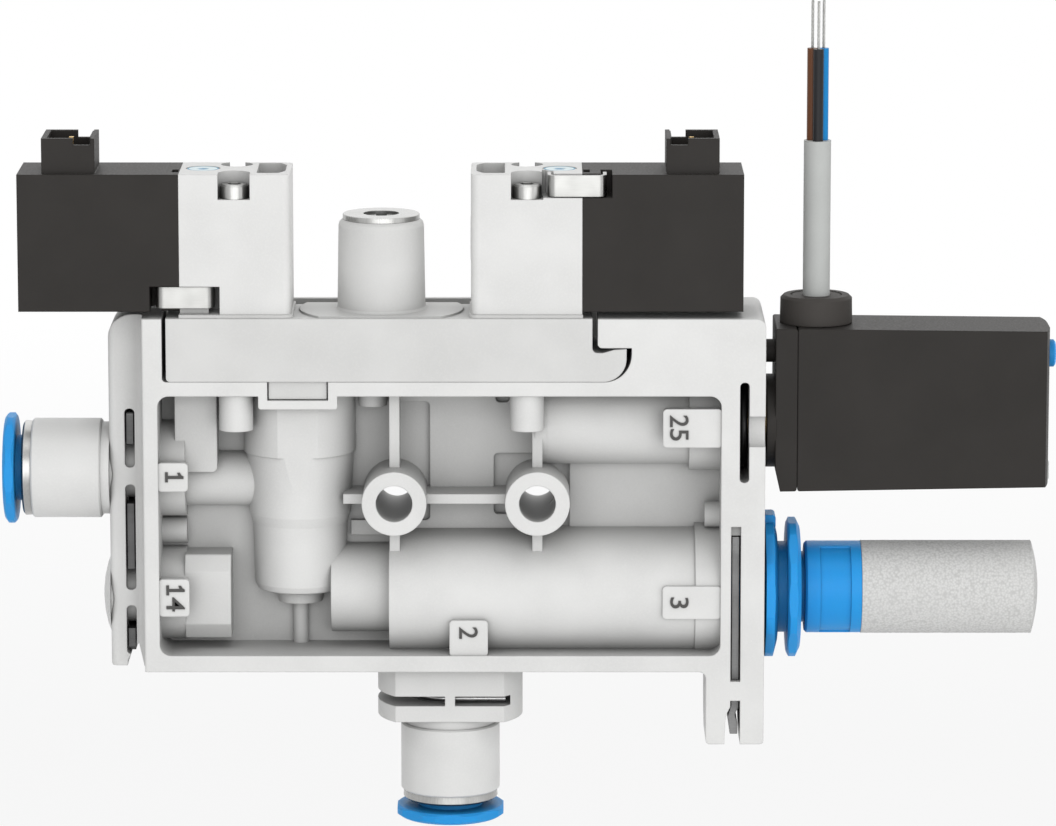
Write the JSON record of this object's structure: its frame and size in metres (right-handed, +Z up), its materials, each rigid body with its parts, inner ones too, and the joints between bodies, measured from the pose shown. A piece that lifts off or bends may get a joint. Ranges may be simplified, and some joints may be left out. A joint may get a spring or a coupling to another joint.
{
  "type": "vacuum ejector",
  "caption": "Compact vacuum generator: open-fronted moulded housing with solenoid valves, throttle, push-in tube ports, silencer and a vacuum sensor with a cut cable.",
  "frame": {"origin": "midway between the two mounting holes, on the rear face that lies against the wall", "axes": "+X to the exhaust, silencer and sensor, +Y into the wall behind the rear face, +Z up to the valves"},
  "size_m": [0.1181, 0.0155, 0.093],
  "materials": {
    "housing_plastic": "fine satin moulding",
    "plate_plastic": "fine satin moulding",
    "valve_plastic": "satin",
    "fitting_plastic": "satin",
    "black_plastic": "fine satin moulding",
    "blue_plastic": "satin",
    "dark_blue_plastic": "satin",
    "steel": "bright",
    "spring_steel": "bright drawn",
    "iron": "ground",
    "brass": "turned",
    "filter_bronze": "sintered",
    "rubber": "matt",
    "silencer_foam": "porous",
    "lamp_plastic": "clear, glossy",
    "winding_resin": "potted",
    "board_laminate": "lacquered",
    "jacket_plastic": "satin",
    "core_black_plastic": "satin",
    "core_brown_plastic": "satin",
    "core_blue_plastic": "satin",
    "tinned_copper": "tinned"
  },
  "bodies": {
    "base": {"housing": "housing_plastic", "manifold_plate": "plate_plastic", "throttle_bush": "steel", "plug_pins": "brass", "valve_screws": "steel", "end_plugs": "valve_plastic", "piston_spring": "spring_steel", "jet_nozzle": "brass", "receiver_nozzle": "brass", "vacuum_filter": "filter_bronze", "blanking_plug": "fitting_plastic", "plug_seals": "rubber", "port_clip": "spring_steel", "exhaust_clip": "spring_steel", "sensor_clip": "spring_steel", "vacuum_clip": "spring_steel", "exhaust_ring": "blue_plastic", "silencer_plug": "blue_plastic", "silencer_element": "silencer_foam", "sensor_base": "black_plastic", "sensor_port": "brass", "sensor_housing": "black_plastic", "status_lamp": "lamp_plastic", "sensor_board": "board_laminate", "cable_gland": "black_plastic", "cable_jacket": "jacket_plastic", "cable_core_black": "core_black_plastic", "cable_core_brown": "core_brown_plastic", "cable_core_blue": "core_blue_plastic", "cable_strands": "tinned_copper", "supply_fitting": "fitting_plastic", "supply_tube_seal": "rubber", "supply_grip_ring": "steel", "vacuum_fitting": "fitting_plastic", "vacuum_tube_seal": "rubber", "vacuum_grip_ring": "steel", "valve_body_left": "valve_plastic", "solenoid_left": "black_plastic", "coil_left": "winding_resin", "armature_spring_left": "spring_steel", "solenoid_clip_left": "spring_steel", "valve_seal_left": "rubber", "valve_body_right": "valve_plastic", "solenoid_right": "black_plastic", "coil_right": "winding_resin", "armature_spring_right": "spring_steel", "solenoid_clip_right": "spring_steel", "valve_seal_right": "rubber"},
    "supply_release": {"supply_release_ring": "blue_plastic"},
    "vacuum_release": {"vacuum_release_ring": "blue_plastic"},
    "exhaust_release": {"exhaust_release_ring": "blue_plastic"},
    "override_button_left": {"override_left": "blue_plastic"},
    "override_button_right": {"override_right": "blue_plastic"},
    "throttle": {"throttle_screw": "steel"},
    "set_button": {"sensor_button": "blue_plastic"},
    "plunger_left": {"armature_left": "iron", "spool_left": "brass"},
    "plunger_right": {"armature_right": "iron", "spool_right": "brass"},
    "piston": {"main_piston": "black_plastic"}
  },
  "joints": [
    {"name": "supply_release_push", "type": "slide", "parent": "base", "child": "supply_release", "axis": [1, 0, 0], "range_m": [0, 0.0006], "stiffness_N_per_m": 500, "springref_m": -0.001},
    {"name": "vacuum_release_push", "type": "slide", "parent": "base", "child": "vacuum_release", "axis": [0, 0, 1], "range_m": [0, 0.0006], "stiffness_N_per_m": 500, "springref_m": -0.001},
    {"name": "exhaust_release_push", "type": "slide", "parent": "base", "child": "exhaust_release", "axis": [-1, 0, 0], "range_m": [0, 0.0007], "stiffness_N_per_m": 500, "springref_m": -0.001},
    {"name": "override_push_left", "type": "slide", "parent": "base", "child": "override_button_left", "axis": [0, 0, -1], "range_m": [0, 0.0006], "stiffness_N_per_m": 1500, "springref_m": -0.001},
    {"name": "override_push_right", "type": "slide", "parent": "base", "child": "override_button_right", "axis": [0, 0, -1], "range_m": [0, 0.0006], "stiffness_N_per_m": 1500, "springref_m": -0.001},
    {"name": "throttle_turn", "type": "hinge", "parent": "base", "child": "throttle", "pos_m": [-0.00945, -0.0089, 0.031], "axis": [0, 0, 1], "range_deg": [-450, 810]},
    {"name": "set_button_push", "type": "slide", "parent": "base", "child": "set_button", "axis": [-1, 0, 0], "range_m": [0, 0.0003], "stiffness_N_per_m": 1500, "springref_m": -0.0008},
    {"name": "plunger_pull_left", "type": "slide", "parent": "base", "child": "plunger_left", "axis": [-1, 0, 0], "range_m": [0, 0.0005], "stiffness_N_per_m": 800, "springref_m": -0.0015, "deforming": ["armature_spring_left"]},
    {"name": "plunger_pull_right", "type": "slide", "parent": "base", "child": "plunger_right", "axis": [1, 0, 0], "range_m": [0, 0.0005], "stiffness_N_per_m": 800, "springref_m": -0.0015, "deforming": ["armature_spring_right"]},
    {"name": "piston_lift", "type": "slide", "parent": "base", "child": "piston", "axis": [0, 0, 1], "range_m": [0, 0.0012], "stiffness_N_per_m": 1200, "springref_m": -0.003, "deforming": ["piston_spring"]}
  ]
}
